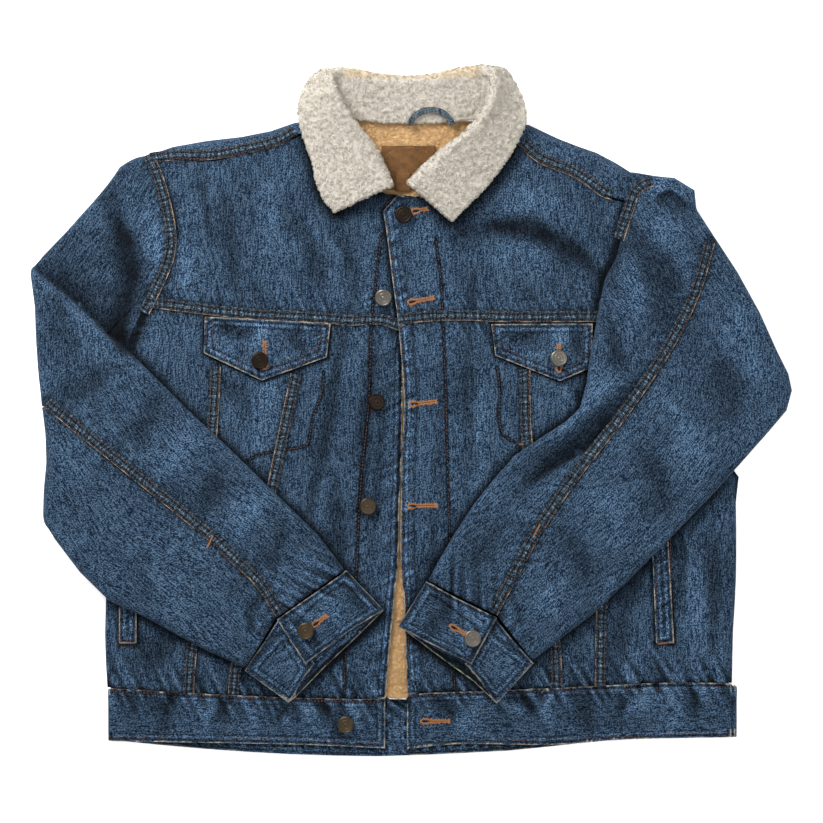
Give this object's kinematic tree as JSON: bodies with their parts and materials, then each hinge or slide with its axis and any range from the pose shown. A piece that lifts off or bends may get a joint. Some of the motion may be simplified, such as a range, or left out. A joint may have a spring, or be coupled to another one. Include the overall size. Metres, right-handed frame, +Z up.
{
  "type": "sherpa lined jacket",
  "caption": "Denim trucker jacket with a white fleece collar and tan pile lining, laid flat on its back with both sleeves folded across the front.",
  "frame": {"origin": "on the surface the jacket lies on, below the middle of its overall box", "axes": "+X across the jacket towards the wearer's left side, +Y from the hem to the collar, +Z up out of the front"},
  "size_m": [0.7651, 0.6934, 0.0383],
  "materials": {
    "denim": "mid-blue slubbed cotton denim, washed, with rust brown topstitching",
    "white_pile": "off-white clumped sherpa fleece",
    "tan_pile": "tan short sherpa pile",
    "button_brass": "aged dark brass, softly worn on the rim",
    "patch": "plain brown leather-look patch, bare",
    "thread": "rust brown and orange topstitching thread"
  },
  "bodies": {
    "root": {"back_panel": "denim", "back_yoke": "denim", "back_lining": "tan_pile", "right_front_side": "denim", "right_front_middle": "denim", "right_front_centre": "denim", "right_front_yoke": "denim", "left_front_side": "denim", "left_front_middle": "denim", "left_front_centre": "denim", "left_front_yoke": "denim", "right_pocket_flap": "denim", "left_pocket_flap": "denim", "right_welt": "denim", "left_welt": "denim", "waistband": "denim", "right_sleeve_top": "denim", "right_sleeve_under": "denim", "left_sleeve_top": "denim", "left_sleeve_under": "denim", "right_cuff": "denim", "left_cuff": "denim", "collar": "white_pile", "label": "patch", "size_tab": "patch", "hanger_loop": "denim", "front_button_1": "button_brass", "front_button_2": "button_brass", "front_button_3": "button_brass", "front_button_4": "button_brass", "front_button_5": "button_brass", "right_flap_button": "button_brass", "left_flap_button": "button_brass", "right_cuff_button": "button_brass", "left_cuff_button": "button_brass"}
  },
  "joints": []
}
